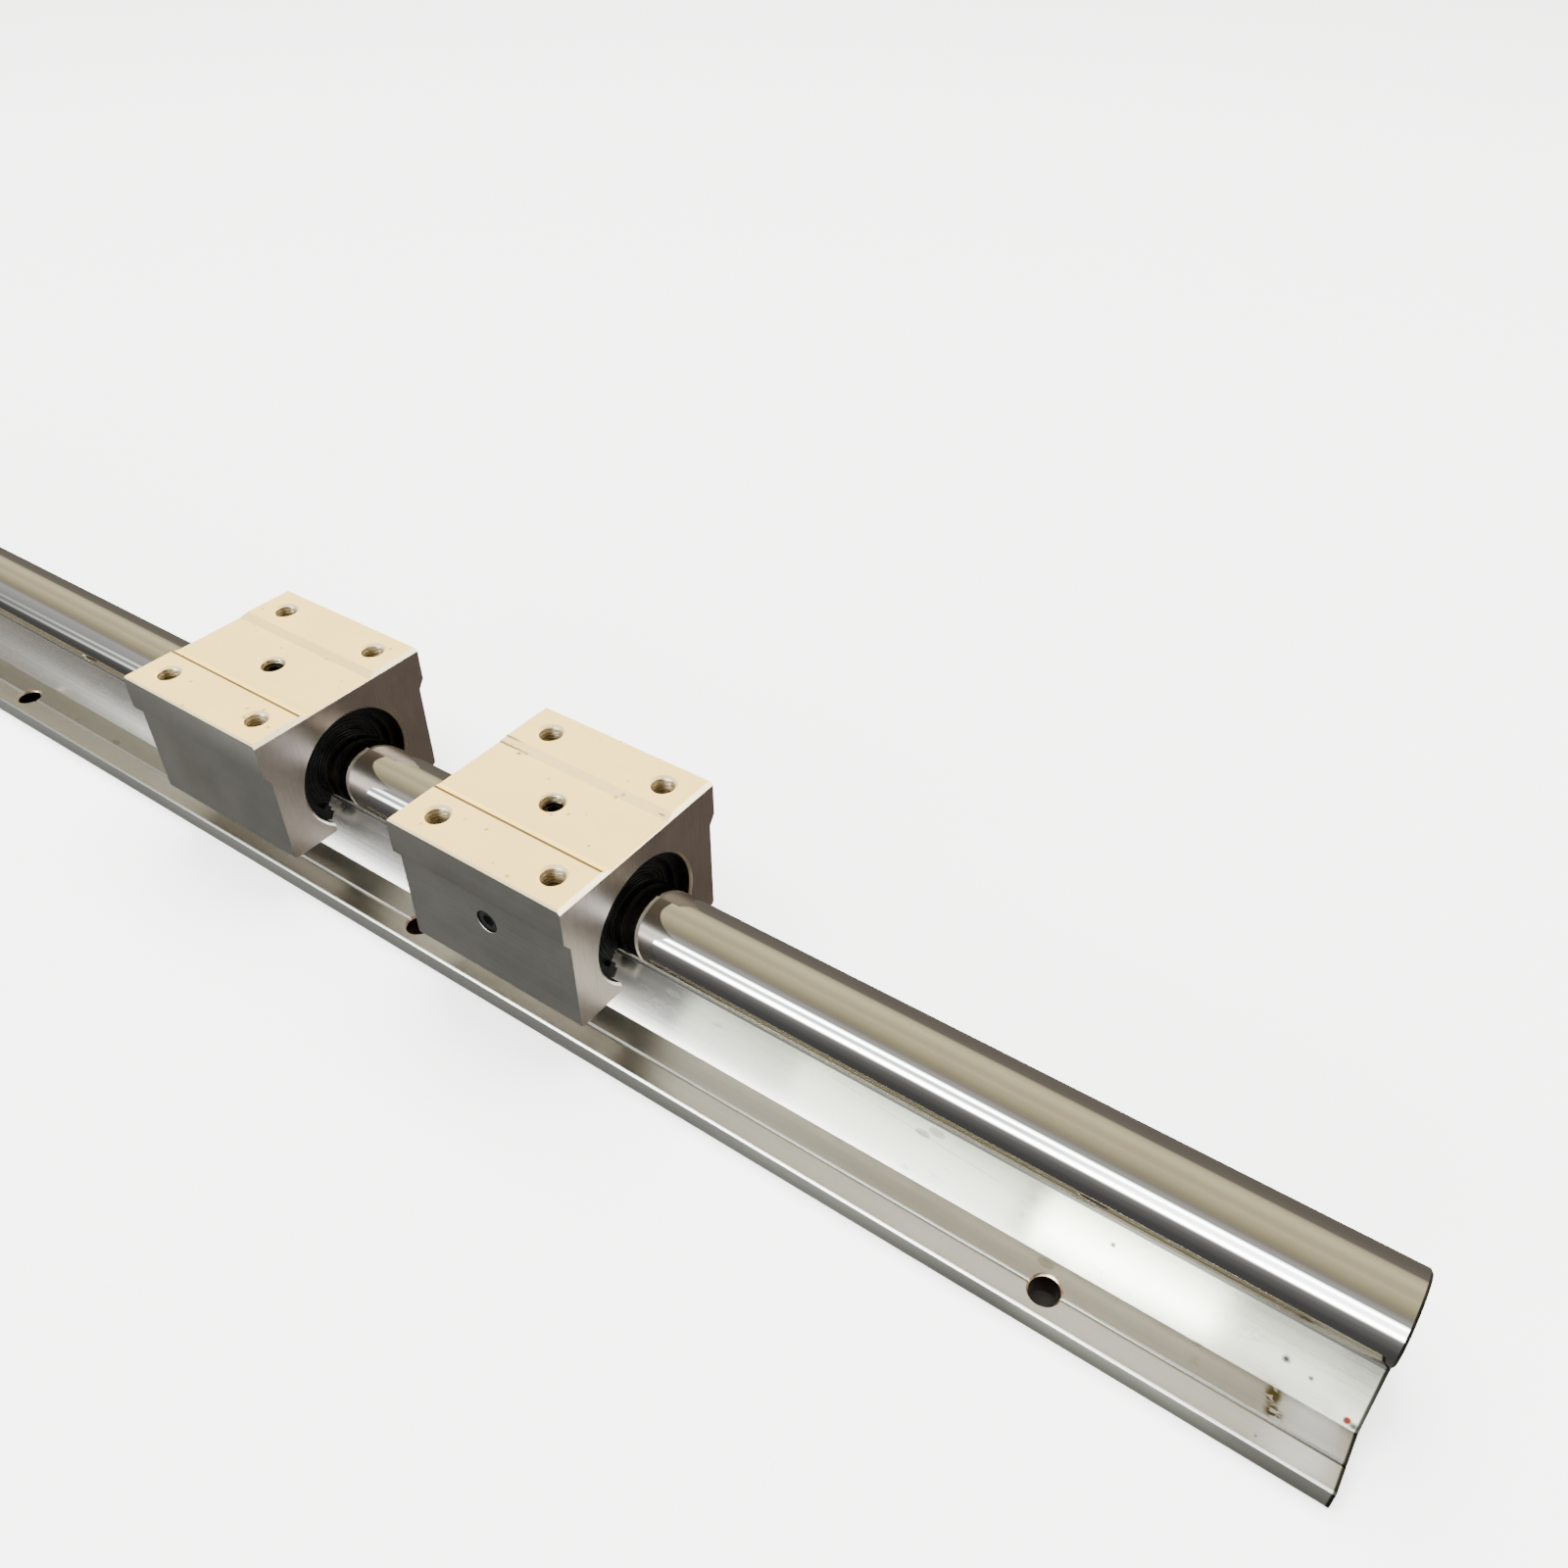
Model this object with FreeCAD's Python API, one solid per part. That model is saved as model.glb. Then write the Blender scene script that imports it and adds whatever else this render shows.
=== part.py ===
# Supported round rail: a ground steel shaft screwed down on a low extruded support,
# with two open bearing blocks that run along it. Sizes in millimetres.
# X runs along the rail, Y across it and Z up. The origin is at the middle of the
# support's underside.
import FreeCAD, Part
import math
import os

# Shaft
shaft_d = 16.0
shaft_height = 25.0
shaft_edge = 0.5

# Support: the length is a whole number of pitches and two end distances
hole_pitch = 150.0
hole_stations = 4
end_distance = 50.0
base_width = 40.0
flange_thickness = 5.0
foot_half_width = 9.25
neck_half_width = 5.0
lip_height = 1.3
cradle_clearance = 0.03
guide_width = 0.9
guide_depth = 0.45
flange_edge = 0.4
relief_half_width = 9.5
relief_depth = 0.6
relief_slope = 0.5

# Holes in the flanges
flange_row_spacing = 30.0
flange_hole_d = 5.5

# Screws that hold the shaft from below
screw_d = 5.0
screw_length = 16.0
screw_head_d = 8.5
screw_head_height = 5.0
screw_socket = 4.0
screw_socket_depth = 2.5
screw_seat_height = 9.0
screw_hole_d = 5.5
counterbore_d = 9.4
thread_clearance = 0.03
tap_extra_depth = 2.0

# Housing of a bearing block
block_width = 45.0
block_length = 45.0
top_above_shaft = 20.0
block_height = 32.5
leg_step = 1.5
cheek_height = 8.5
cheek_slope = 2.2
strip_half_width = 8.3
strip_slope = 2.0
strip_depth = 0.8
top_edge = 0.4
end_chamfer_run = 0.65
end_chamfer_drop = 1.0
leg_edge = 0.5
opening_angle = 80.0
opening_lip = 0.3
bore_chamfer = 0.5

# Threaded holes of the housing
mount_hole_d = 5.0
mount_hole_depth = 12.0
mount_spacing_x = 30.0
mount_spacing_y = 32.0

# Open ball bushing
bushing_d = 28.0
bushing_length = 37.0
bushing_clearance = 0.06
sleeve_wall = 2.1
cage_clearance = 0.05
ball_protrusion = 0.6
seal_thickness = 2.0
seal_clearance = 0.05
cage_opening_angle = 84.0

# Retaining rings
ring_thickness = 1.2
ring_width = 2.0
ring_play = 0.05
ring_opening_angle = 72.0
ring_end_angle = 6.0
ring_lug_angle = 9.0
ring_lug_width = 1.1

# Set screw in one leg, which presses on the sleeve to take up its play
set_screw_d = 5.0
set_screw_recess = 0.4
set_screw_height = 3.5
set_screw_socket = 2.5
set_screw_socket_depth = 2.2

# Lock screw in the centre hole, which presses on the sleeve and keeps it from turning
lock_screw_recess = {"a": 1.4, "b": 2.2}

# Places of the two blocks along the rail, and which of them is turned round
block_places = {"a": 21.5, "b": 106.0}
turned_blocks = ("a",)

rail_length = hole_pitch * (hole_stations - 1) + 2 * end_distance
shaft_r = shaft_d / 2
bushing_r = bushing_d / 2
top_height = shaft_height + top_above_shaft
strip_height = top_height - strip_depth
leg_bottom = top_height - block_height
bore_r = bushing_r
stations = [(i - (hole_stations - 1) / 2) * hole_pitch for i in range(hole_stations)]

X_AXIS = FreeCAD.Vector(1, 0, 0)
Y_AXIS = FreeCAD.Vector(0, 1, 0)
Z_AXIS = FreeCAD.Vector(0, 0, 1)
DOWN = FreeCAD.Vector(0, 0, -1)


def at(y, z, x=0.0):
    return FreeCAD.Vector(x, y, z)


def lines(points):
    """Straight edges through points given as (y, z)."""
    return [Part.makeLine(at(*a), at(*b)) for a, b in zip(points, points[1:])]


def arc(start, middle, end):
    return Part.Arc(at(*start), at(*middle), at(*end)).toShape()


def along_x(edges, length):
    """Solid with the closed outline of these edges, centred on x = 0."""
    solid = Part.Face(Part.Wire(edges)).extrude(FreeCAD.Vector(length, 0, 0))
    solid.translate(FreeCAD.Vector(-length / 2, 0, 0))
    return solid


def mirrored(points):
    return [(-y, z) for y, z in reversed(points)]


def rod(radius, start, length, axis=X_AXIS):
    return Part.makeCylinder(radius, length, start, axis)


def cone(radius, end_radius, start, length, axis=X_AXIS):
    return Part.makeCone(radius, end_radius, length, start, axis)


def hex_prism(across_flats, start, length, axis):
    """Six-sided prism, used as the socket of a screw."""
    corner = across_flats / 2 / math.cos(math.pi / 6)
    turns = [math.radians(60 * i) for i in range(7)]
    ring = [FreeCAD.Vector(corner * math.cos(t), corner * math.sin(t), 0) for t in turns]
    prism = Part.Face(Part.makePolygon(ring)).extrude(FreeCAD.Vector(0, 0, length))
    prism.Placement = FreeCAD.Placement(start, FreeCAD.Rotation(Z_AXIS, axis))
    return prism


def on_circle(radius, angle):
    """Point (y, z) on a circle round the shaft, with the angle from straight down."""
    turn = math.radians(angle)
    return radius * math.sin(turn), shaft_height - radius * math.cos(turn)


def open_ring(inner_r, outer_r, opening, length):
    """C-shaped ring round the shaft, open at the bottom, centred on x = 0."""
    half = opening / 2
    edges = [arc(on_circle(outer_r, half), on_circle(outer_r, 180), on_circle(outer_r, -half))]
    edges += lines([on_circle(outer_r, -half), on_circle(inner_r, -half)])
    edges += [arc(on_circle(inner_r, -half), on_circle(inner_r, 180), on_circle(inner_r, half))]
    edges += lines([on_circle(inner_r, half), on_circle(outer_r, half)])
    return along_x(edges, length)


def make_support():
    """Extruded aluminium support with its flange holes and screw counterbores."""
    cradle_r = shaft_r + cradle_clearance
    cradle_z = shaft_height - math.sqrt(cradle_r ** 2 - neck_half_width ** 2)
    rim = base_width / 2
    row = flange_row_spacing / 2
    top = flange_thickness
    right = [
        (neck_half_width, cradle_z),
        (neck_half_width, cradle_z - lip_height),
        (foot_half_width, top),
        (row - guide_width / 2, top),
        (row, top - guide_depth),
        (row + guide_width / 2, top),
        (rim - flange_edge, top),
        (rim, top - flange_edge),
        (rim, flange_edge),
        (rim - flange_edge, 0),
        (relief_half_width, 0),
        (relief_half_width - relief_slope, relief_depth),
    ]
    outline = lines(right + mirrored(right))
    outline.append(arc(mirrored(right)[-1], (0, shaft_height - cradle_r), right[0]))
    support = along_x(outline, rail_length)
    cuts = []
    for x in stations:
        for side in (-row, row):
            cuts.append(rod(flange_hole_d / 2, at(side, 0, x), flange_thickness, Z_AXIS))
        cuts.append(rod(counterbore_d / 2, at(0, 0, x), screw_seat_height, Z_AXIS))
        cuts.append(rod(screw_hole_d / 2, at(0, screw_seat_height, x), shaft_height, Z_AXIS))
    return support.cut(cuts)


def make_shaft():
    """Ground shaft with broken end edges and threaded holes for its screws."""
    inner = rail_length - 2 * shaft_edge
    half = rail_length / 2
    end_r = shaft_r - shaft_edge
    shaft = rod(shaft_r, at(0, shaft_height, -inner / 2), inner)
    shaft = shaft.fuse([
        cone(end_r, shaft_r, at(0, shaft_height, -half), shaft_edge),
        cone(shaft_r, end_r, at(0, shaft_height, inner / 2), shaft_edge),
    ])
    bottom = shaft_height - shaft_r
    depth = screw_seat_height + screw_length + tap_extra_depth - bottom
    tap_r = screw_d / 2 + thread_clearance
    taps = [rod(tap_r, at(0, bottom - 1, x), depth + 1, Z_AXIS) for x in stations]
    return shaft.cut(taps)


def make_shaft_screw(x):
    """Socket head cap screw, head down in the support's counterbore."""
    seat = screw_seat_height
    head_base = at(0, seat - screw_head_height, x)
    head = rod(screw_head_d / 2, head_base, screw_head_height, Z_AXIS)
    shank = rod(screw_d / 2, at(0, seat, x), screw_length, Z_AXIS)
    socket = hex_prism(screw_socket, head_base, screw_socket_depth, Z_AXIS)
    return head.fuse(shank).cut(socket)


def housing_outline():
    """Edges of the housing's section, with the bore open at the bottom."""
    side = block_width / 2
    leg = side - leg_step
    mouth = on_circle(bore_r, opening_angle / 2)
    right = [
        (strip_half_width, strip_height),
        (strip_half_width + strip_slope, top_height),
        (side - top_edge, top_height),
        (side, top_height - top_edge),
        (side, top_height - cheek_height),
        (leg, top_height - cheek_height - cheek_slope),
        (leg, leg_bottom + leg_edge),
        (leg - leg_edge, leg_bottom),
        (mouth[0] + opening_lip, leg_bottom),
        mouth,
    ]
    left = mirrored(right)
    bore = arc(mouth, (0, shaft_height + bore_r), left[0])
    return lines(right) + [bore] + lines(left + right[:1])


def make_housing():
    """Extruded and milled aluminium housing, with its set screw on the -Y side."""
    half = block_length / 2
    housing = along_x(housing_outline(), block_length)
    cuts = []
    for end in (-1, 1):
        wedge = [
            FreeCAD.Vector(end * half, -block_width, top_height - end_chamfer_drop),
            FreeCAD.Vector(end * (half - end_chamfer_run), -block_width, top_height),
            FreeCAD.Vector(end * half, -block_width, top_height),
        ]
        face = Part.Face(Part.makePolygon(wedge + wedge[:1]))
        cuts.append(face.extrude(FreeCAD.Vector(0, 2 * block_width, 0)))
        outward = FreeCAD.Vector(end, 0, 0)
        mouth = at(0, shaft_height, end * (half - bore_chamfer))
        cuts.append(cone(bore_r, bore_r + bore_chamfer, mouth, bore_chamfer, outward))
    for x in (-mount_spacing_x / 2, mount_spacing_x / 2):
        for y in (-mount_spacing_y / 2, mount_spacing_y / 2):
            cuts.append(rod(mount_hole_d / 2, at(y, top_height, x), mount_hole_depth, DOWN))
    screw_r = set_screw_d / 2 + thread_clearance
    cuts.append(rod(screw_r, at(0, strip_height), strip_height - shaft_height, DOWN))
    leg = block_width / 2 - leg_step
    cuts.append(rod(screw_r, at(-leg, shaft_height + set_screw_height), leg, Y_AXIS))
    return housing.cut(cuts)


def headless_screw(start, inward, length):
    """Hex socket set screw whose socket end is at start."""
    socket = hex_prism(set_screw_socket, start, set_screw_socket_depth, inward)
    return rod(set_screw_d / 2, start, length, inward).cut(socket)


def make_set_screw():
    """Screw in the housing's -Y leg, from just under its face in to the sleeve."""
    outer_y = block_width / 2 - leg_step - set_screw_recess
    start = at(-outer_y, shaft_height + set_screw_height)
    return headless_screw(start, Y_AXIS, outer_y - bushing_r)


def make_lock_screw(recess):
    """Screw in the centre hole, from under the strip down to the sleeve."""
    top = strip_height - recess
    return headless_screw(at(0, top), DOWN, top - shaft_height - bushing_r)


def make_sleeve():
    """Hardened outer sleeve of the open ball bushing."""
    return open_ring(bushing_r - sleeve_wall, bushing_r - bushing_clearance,
                     opening_angle, bushing_length)


def make_cage():
    """Moulded cage inside the sleeve, with a seal lip round the shaft at each end."""
    cage = open_ring(shaft_r + seal_clearance, bushing_r - sleeve_wall - cage_clearance,
                     cage_opening_angle, bushing_length)
    space = bushing_length - 2 * seal_thickness
    return cage.cut(rod(shaft_r + ball_protrusion, at(0, shaft_height, -space / 2), space))


def make_retaining_ring(end):
    """Spring ring in the bore beside the bushing, with a lug near each open end."""
    outer_r = bore_r - ring_play
    inner_r = outer_r - ring_width
    ring = open_ring(inner_r, outer_r, ring_opening_angle, ring_thickness)
    half = ring_opening_angle / 2 + ring_end_angle
    lug_r = inner_r - ring_lug_width
    for side in (-1, 1):
        angles = [side * (half + share * ring_lug_angle) for share in (0, 0.5, 1)]
        inner = [on_circle(lug_r, angle) for angle in angles]
        outer = [on_circle(inner_r, angle) for angle in angles]
        edges = [arc(*inner)] + lines([inner[2], outer[2]])
        edges += [arc(*reversed(outer))] + lines([outer[0], inner[0]])
        ring = ring.fuse(along_x(edges, ring_thickness))
    place = bushing_length / 2 + ring_play + ring_thickness / 2
    ring.translate(FreeCAD.Vector(end * place, 0, 0))
    return ring.removeSplitter()


def make_block(lock_recess):
    """All pieces of one bearing block, centred on x = 0."""
    return {
        "housing": make_housing(),
        "bushing_sleeve": make_sleeve(),
        "ball_cage": make_cage(),
        "retaining_ring_1": make_retaining_ring(-1),
        "retaining_ring_2": make_retaining_ring(1),
        "set_screw": make_set_screw(),
        "lock_screw": make_lock_screw(lock_recess),
    }


def main():
    nodes = {"support_rail": make_support(), "shaft": make_shaft()}
    nodes["shaft_screws"] = Part.makeCompound([make_shaft_screw(x) for x in stations])
    for block, x in block_places.items():
        for name, piece in make_block(lock_screw_recess[block]).items():
            if block in turned_blocks:
                piece.rotate(FreeCAD.Vector(0, 0, 0), Z_AXIS, 180)
            piece.translate(FreeCAD.Vector(x, 0, 0))
            nodes[f"block_{block}_{name}"] = piece
    os.makedirs("parts", exist_ok=True)
    for name, shape in nodes.items():
        shape.exportStep(f"parts/{name}.step")
        box = shape.BoundBox
        print(f"{name}: solids {len(shape.Solids)}, valid {shape.isValid()}, "
              f"volume {shape.Volume:.1f}, x {box.XMin:.2f} to {box.XMax:.2f}")


main()
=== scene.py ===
"""Supported round rail with two open bearing blocks: detailed pieces, finishes and a plain studio.

Positions are in millimetres in the part's own frame and are turned into metres where a mesh,
lamp or camera is made. X runs along the rail, -Y is the near side and Z is up.
"""

import math

import bmesh
import bpy
from bpy.props import FloatProperty, FloatVectorProperty, IntProperty, PointerProperty
from mathutils import Matrix, Vector


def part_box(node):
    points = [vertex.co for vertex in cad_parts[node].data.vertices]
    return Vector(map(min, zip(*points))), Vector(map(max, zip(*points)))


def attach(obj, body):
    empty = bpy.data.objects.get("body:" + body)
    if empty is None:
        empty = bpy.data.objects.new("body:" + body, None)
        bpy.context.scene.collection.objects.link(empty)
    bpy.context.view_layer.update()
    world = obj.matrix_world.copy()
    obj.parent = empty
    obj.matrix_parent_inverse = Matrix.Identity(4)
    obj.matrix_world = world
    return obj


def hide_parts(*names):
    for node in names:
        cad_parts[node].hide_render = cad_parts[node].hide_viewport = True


bl_info = {
    "name": "Supported Round Rail",
    "version": (1, 0, 0),
    "blender": (4, 5, 0),
    "location": "View3D > Sidebar > Round Rail",
    "description": "Dresses a supported round rail and its two open bearing blocks",
    "category": "Object",
}

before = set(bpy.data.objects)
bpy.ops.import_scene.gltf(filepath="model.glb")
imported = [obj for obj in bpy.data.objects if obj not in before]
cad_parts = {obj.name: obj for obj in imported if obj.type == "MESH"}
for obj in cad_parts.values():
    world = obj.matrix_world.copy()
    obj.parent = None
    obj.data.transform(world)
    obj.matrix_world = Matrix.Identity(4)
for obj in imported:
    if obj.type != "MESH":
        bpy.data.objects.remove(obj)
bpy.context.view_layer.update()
MM = 0.001
BLOCKS = ("a", "b")
UP = Vector((0, 0, 1))


def node_box(node):
    """Lowest and highest corner of a node, in millimetres."""
    low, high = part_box(node)
    return Vector(low) / MM, Vector(high) / MM


RAIL_END = node_box("support_rail")[1].x
SHAFT_LOW, SHAFT_HIGH = node_box("shaft")
SHAFT_Z = (SHAFT_HIGH.z + SHAFT_LOW.z) / 2
HOUSING_BOXES = {block: node_box(f"block_{block}_housing") for block in BLOCKS}
BLOCK_X = {block: (low.x + high.x) / 2 for block, (low, high) in HOUSING_BOXES.items()}
BLOCK_TOP = HOUSING_BOXES["b"][1].z

# Sizes of the solids that their boxes don't give, in millimetres.
FLANGE_TOP = 5
FLANGE_HOLE_R = 2.75
HOLE_PITCH = 150
HOLE_ROW = 15
LEG_Y = 21
MOUNT_HOLE_R = 2.5
MOUNT_HOLE_X = 15
MOUNT_HOLE_Y = 16
SCREW_HOLE_R = 2.53
SET_SCREW_Z = 28.5
STRIP_DEPTH = 0.8
# The set screw's hole is on -Y in block b, and on +Y in block a, which is turned round.
SET_SCREW_SIDE = {"a": 1, "b": -1}


# ---- shader maths ----


class Field:
    """One output socket of a node tree, so that shader maths reads as Python."""

    def __init__(self, tree, socket=None):
        self.tree = tree
        self.socket = socket

    def node(self, kind, settings, values, output=0):
        """Adds a node of this kind: its settings first, then its sockets' values or links."""
        made = self.tree.nodes.new(kind)
        for name, value in settings.items():
            if name == "stops":
                fill_ramp(made.color_ramp, value)
            else:
                setattr(made, name, value)
        for name, value in values.items():
            target = made.inputs[name]
            if isinstance(value, Field):
                self.tree.links.new(value.socket, target)
            else:
                target.default_value = value
        return Field(self.tree, made.outputs[output])

    def output(self, name):
        """Another output of the same node."""
        return Field(self.tree, self.socket.node.outputs[name])

    def math(self, operation, *values):
        """A Math node that works on these values."""
        return self.node("ShaderNodeMath", {"operation": operation}, dict(enumerate(values)))

    def __add__(self, other):
        return self.math("ADD", self, other)

    def __radd__(self, other):
        return self.math("ADD", other, self)

    def __sub__(self, other):
        return self.math("SUBTRACT", self, other)

    def __rsub__(self, other):
        return self.math("SUBTRACT", other, self)

    def __mul__(self, other):
        return self.math("MULTIPLY", self, other)

    def __rmul__(self, other):
        return self.math("MULTIPLY", other, self)

    def __truediv__(self, other):
        return self.math("DIVIDE", self, other)

    def __neg__(self):
        return self.math("MULTIPLY", self, -1.0)

    def __abs__(self):
        return self.math("ABSOLUTE", self)

    def __pow__(self, other):
        return self.math("POWER", self, other)

    def rise(self, start, end):
        """0 at start, 1 at end, smooth between and flat beyond."""
        return self.node(
            "ShaderNodeMapRange",
            {"interpolation_type": "SMOOTHSTEP"},
            {"Value": self, "From Min": start, "From Max": end},
        )

    def near(self, place, reach):
        """1 at the place, falling to 0 at the reach from it."""
        return 1 - abs(self - place).rise(0, reach)

    def stretched(self, x, y, z):
        """This vector with each part multiplied."""
        return self.node("ShaderNodeVectorMath", {"operation": "MULTIPLY"}, {0: self, 1: (x, y, z)})

    def noise(self, scale, detail=3.0, roughness=0.55):
        """Soft noise from 0 to 1 at this vector."""
        values = {"Vector": self, "Scale": scale, "Detail": detail, "Roughness": roughness}
        return self.node("ShaderNodeTexNoise", {}, values)

    def cells(self, scale):
        """Distance to the nearest of many scattered points."""
        return self.node("ShaderNodeTexVoronoi", {}, {"Vector": self, "Scale": scale})

    def blend(self, low, high):
        """A colour between two others, by this factor."""
        values = {0: self, 6: colour_value(low), 7: colour_value(high)}
        return self.node("ShaderNodeMix", {"data_type": "RGBA"}, values, 2)


def colour_value(colour):
    """A colour as a socket takes it: a link as it is, or three numbers with a fourth."""
    return colour if isinstance(colour, Field) else (*colour, 1.0)


def scaled(colour, factor):
    """A colour made darker or lighter."""
    return tuple(factor * c for c in colour)


def fill_ramp(ramp, stops):
    """Sets a ramp's stops; a new ramp has two already."""
    for i, (place, level) in enumerate(stops):
        element = ramp.elements[i] if i < 2 else ramp.elements.new(place)
        element.position = place
        element.color = colour_value(level)


def new_finish(name):
    """A new material, with its surface's place in millimetres and the way that it faces."""
    material = bpy.data.materials.new(name)
    material.use_nodes = True
    material.node_tree.nodes.clear()
    base = Field(material.node_tree)
    coordinates = base.node("ShaderNodeTexCoord", {}, {}, "Object")
    place = coordinates.stretched(1 / MM, 1 / MM, 1 / MM)
    facing = base.node("ShaderNodeSeparateXYZ", {}, {"Vector": coordinates.output("Normal")})
    return material, place, facing


def parts_of(vector):
    """X, Y and Z of a vector."""
    split = vector.node("ShaderNodeSeparateXYZ", {}, {"Vector": vector})
    return split, split.output("Y"), split.output("Z")


def spots(across, up, places):
    """Small marks, each given by its place and reach both ways and by its strength."""
    total = 0.0
    for u, reach_u, v, reach_v, strength in places:
        total = total + across.near(u, reach_u) * up.near(v, reach_v) * strength
    return total


def finish(material, constants, varying, bump=None, depth=0.02):
    """Sets the material's shader: constants on its own sockets, and the links that vary.

    The bump's depth is in millimetres.
    """
    tree = Field(material.node_tree)
    if bump is not None:
        values = {"Height": bump, "Distance": depth * MM}
        varying["Normal"] = tree.node("ShaderNodeBump", {}, values)
    shader = tree.node("ShaderNodeBsdfPrincipled", {}, {**constants, **varying})
    output = material.node_tree.nodes.new("ShaderNodeOutputMaterial")
    material.node_tree.links.new(shader.socket, output.inputs["Surface"])
    return material


# ---- sizes and colours ----


class StudioSettings(bpy.types.PropertyGroup):
    """Camera, floor and light."""

    lens: FloatProperty(
        name="Lens", description="Focal length of the camera, in millimetres", default=30.15
    )
    camera_place: FloatVectorProperty(
        name="Camera place",
        description="Place of the camera, in millimetres",
        default=(256.0, -136.0, 209.4),
    )
    camera_aim: FloatVectorProperty(
        name="Camera aim",
        description="Point in the middle of the picture, in millimetres",
        default=(126.6, 50.0, 25.0),
    )
    floor_size: FloatProperty(
        name="Floor size", description="Side of the floor", default=14.0, unit="LENGTH"
    )
    floor_colour: FloatVectorProperty(
        name="Floor colour",
        description="Colour of the pale floor",
        default=(0.85, 0.86, 0.9),
        subtype="COLOR",
    )
    lamp_power: FloatProperty(
        name="Lamp power", description="Power of the overhead lamp, in watts", default=170.0
    )
    lamp_colour: FloatVectorProperty(
        name="Lamp colour",
        description="Colour of the overhead lamp",
        default=(1.0, 0.74, 0.25),
        subtype="COLOR",
    )
    floor_power: FloatProperty(
        name="Floor lamp power",
        description="Power of the lamp that lights the floor alone, in watts",
        default=520.0,
    )
    edge_power: FloatProperty(
        name="Edge lamp power", description="Power of the low lamp at +X, in watts", default=5.0
    )


class BlockSettings(bpy.types.PropertyGroup):
    """Small forms of a bearing block."""

    edge_break: FloatProperty(
        name="Edge break", description="Width of the broken edges, in millimetres", default=0.1
    )
    top_edge: FloatProperty(
        name="Top edge", description="Width of the long top edges' chamfer, in mm", default=0.5
    )
    hole_rim: FloatProperty(
        name="Hole rim", description="Width of the countersink at a hole, in mm", default=0.5
    )
    thread_pitch: FloatProperty(
        name="Thread pitch", description="Pitch of the screw threads, in mm", default=0.8
    )
    thread_depth: FloatProperty(
        name="Thread depth", description="Depth of the threads, in mm", default=0.4
    )
    thread_length: FloatProperty(
        name="Thread length", description="Length of thread in a corner hole, in mm", default=11.4
    )
    thread_sides: IntProperty(
        name="Thread sides", description="Divisions round a thread", default=48
    )
    seal_ridge: FloatProperty(
        name="Seal ridge", description="Height of the ridges on the seals, in mm", default=0.42
    )
    seal_opening: FloatProperty(
        name="Seal opening", description="Opening of the seals, in degrees", default=88.0
    )


class RailSettings(bpy.types.PropertyGroup):
    """Small forms of the support."""

    edge_break: FloatProperty(
        name="Edge break", description="Width of the broken edges, in millimetres", default=0.15
    )
    end_break: FloatProperty(
        name="End break", description="Width of the deburred end edges, in mm", default=0.35
    )
    hole_rim: FloatProperty(
        name="Hole rim", description="Width of the countersink at a hole, in mm", default=0.4
    )


class FinishSettings(bpy.types.PropertyGroup):
    """Colours of the finishes."""

    rail: FloatVectorProperty(
        name="Rail", description="Extruded aluminium", default=(0.74, 0.73, 0.70), subtype="COLOR"
    )
    shaft: FloatVectorProperty(
        name="Shaft",
        description="Ground and hardened steel",
        default=(0.67, 0.665, 0.65),
        subtype="COLOR",
    )
    block_top: FloatVectorProperty(
        name="Block top",
        description="Matt top of a block",
        default=(0.90, 0.78, 0.50),
        subtype="COLOR",
    )
    # Painted shade: the side and end colours are darker than the top, as shaded copies of the
    # housing's one anodised metal, beside their finishes' own differences.
    block_side_shaded: FloatVectorProperty(
        name="Block side",
        description="Extruded side of a block",
        default=(0.47, 0.455, 0.42),
        subtype="COLOR",
    )
    block_end_shaded: FloatVectorProperty(
        name="Block end",
        description="Milled end of a block",
        default=(0.56, 0.49, 0.46),
        subtype="COLOR",
    )
    black: FloatVectorProperty(
        name="Black parts",
        description="Moulded and blackened parts",
        default=(0.007, 0.007, 0.007),
        subtype="COLOR",
    )


# ---- making pieces ----

# Angles in degrees above which an edge shades sharp.
SHARP = 28
SLIGHT_SHARP = 12
FLAT_FACE_SHARP = 3


def mesh_of(name, bm, fine_above=1e9):
    """A mesh in metres from one in millimetres, smooth except at its edges.

    Slight edges, such as the sunk strip's, count as edges above this height. Those of a flat
    face with holes, known by its many corners, always count, so that it shades flat.
    """
    for face in bm.faces:
        face.smooth = True
    for edge in bm.edges:
        limit = SLIGHT_SHARP if min(v.co.z for v in edge.verts) > fine_above else SHARP
        if any(len(face.verts) > 8 for face in edge.link_faces):
            limit = FLAT_FACE_SHARP
        edge.smooth = len(edge.link_faces) == 2 and edge.calc_face_angle() < math.radians(limit)
    bmesh.ops.scale(bm, vec=(MM, MM, MM), verts=bm.verts)
    mesh = bpy.data.meshes.new(name)
    bm.to_mesh(mesh)
    bm.free()
    return mesh


def add_piece(name, mesh, material, body, replaced=()):
    """A piece that rides on a body and takes the place of these CAD nodes, if any."""
    piece = bpy.data.objects.new(name, mesh)
    bpy.context.scene.collection.objects.link(piece)
    piece.data.materials.clear()
    piece.data.materials.append(material)
    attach(piece, body)
    if replaced:
        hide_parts(*replaced)


def join_flat_faces(bm):
    """Joins the triangles that lie in one plane into one face."""
    plane = math.radians(0.5)
    bmesh.ops.dissolve_limit(bm, angle_limit=plane, verts=bm.verts, edges=bm.edges)


def clean_copy(node):
    """A CAD node's mesh in millimetres, with the triangles of each flat face joined."""
    bm = bmesh.new()
    bm.from_mesh(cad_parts[node].data)
    bmesh.ops.scale(bm, vec=(1 / MM, 1 / MM, 1 / MM), verts=bm.verts)
    bmesh.ops.remove_doubles(bm, verts=bm.verts, dist=0.001)
    join_flat_faces(bm)
    return bm


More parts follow.
